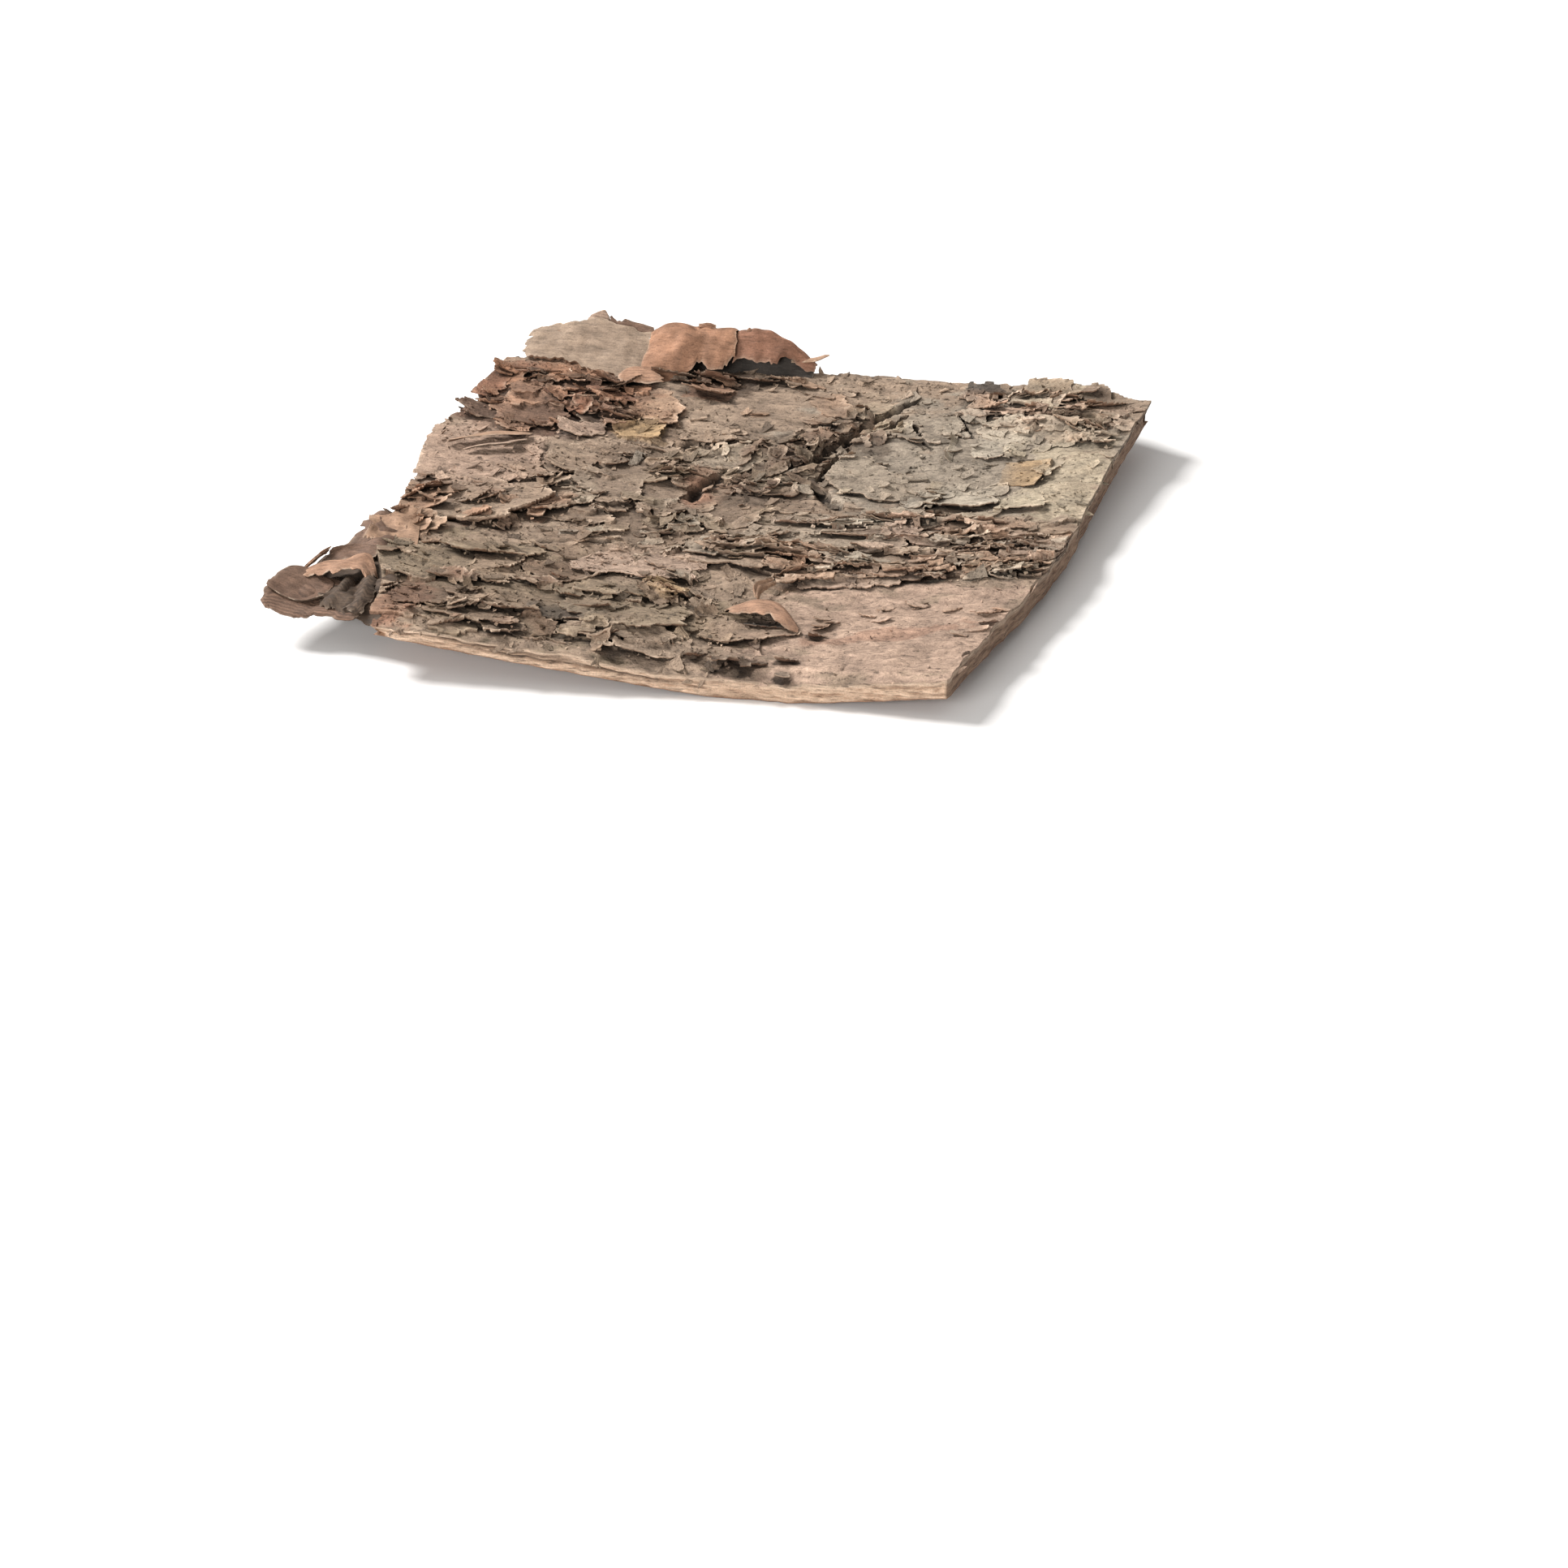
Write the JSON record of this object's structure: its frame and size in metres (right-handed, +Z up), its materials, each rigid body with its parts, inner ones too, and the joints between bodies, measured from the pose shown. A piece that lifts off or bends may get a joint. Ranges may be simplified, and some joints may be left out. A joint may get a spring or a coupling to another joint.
{
  "type": "piece of bark",
  "caption": "Roughly square, gently curled slab of dried tree bark that lies flaky outer side up, with thin papery layers lifting at one corner and along one edge.",
  "frame": {"origin": "centre of the base of the piece's box, on the surface that it rests on", "axes": "+X along the cut front edge, left to right; +Y from the cut front edge to the back; +Z up, out of the flaky outer side"},
  "size_m": [0.1346, 0.1182, 0.0132],
  "materials": {
    "bark": "matte"
  },
  "bodies": {
    "root": {"bark_piece": "bark"}
  },
  "joints": []
}
